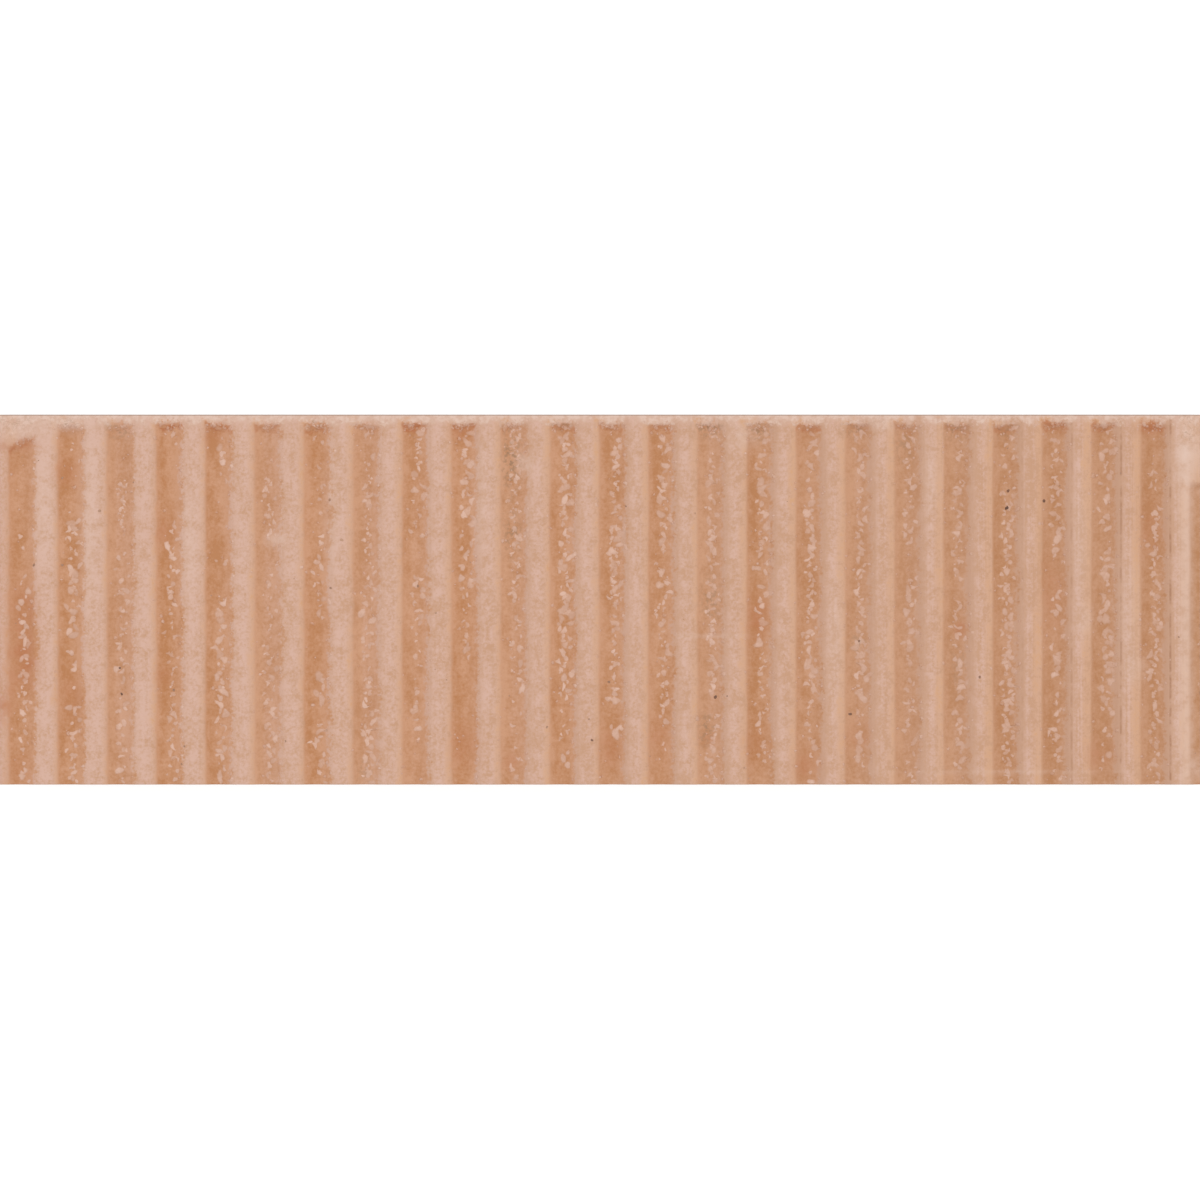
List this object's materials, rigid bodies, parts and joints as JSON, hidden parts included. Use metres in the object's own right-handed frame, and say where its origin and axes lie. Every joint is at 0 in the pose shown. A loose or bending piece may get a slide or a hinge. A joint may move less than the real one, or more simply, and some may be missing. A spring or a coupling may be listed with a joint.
{
  "type": "fluted ceramic wall tile",
  "caption": "Oblong matt terracotta-coloured ceramic wall tile with concave flutes across its face, a flat rim along one long edge and a keyed back for adhesive.",
  "frame": {"origin": "under the middle of the back, on the plane that the tile is bedded on", "axes": "+X along the long side, +Y along the flutes towards the rimmed long edge, +Z out of the fluted face"},
  "size_m": [0.2, 0.0616, 0.01],
  "materials": {
    "matt_ceramic": "matt terracotta engobe, paler on the ridges, with pale slip flecks in the grooves"
  },
  "bodies": {
    "root": {"tile": "matt_ceramic"}
  },
  "joints": []
}
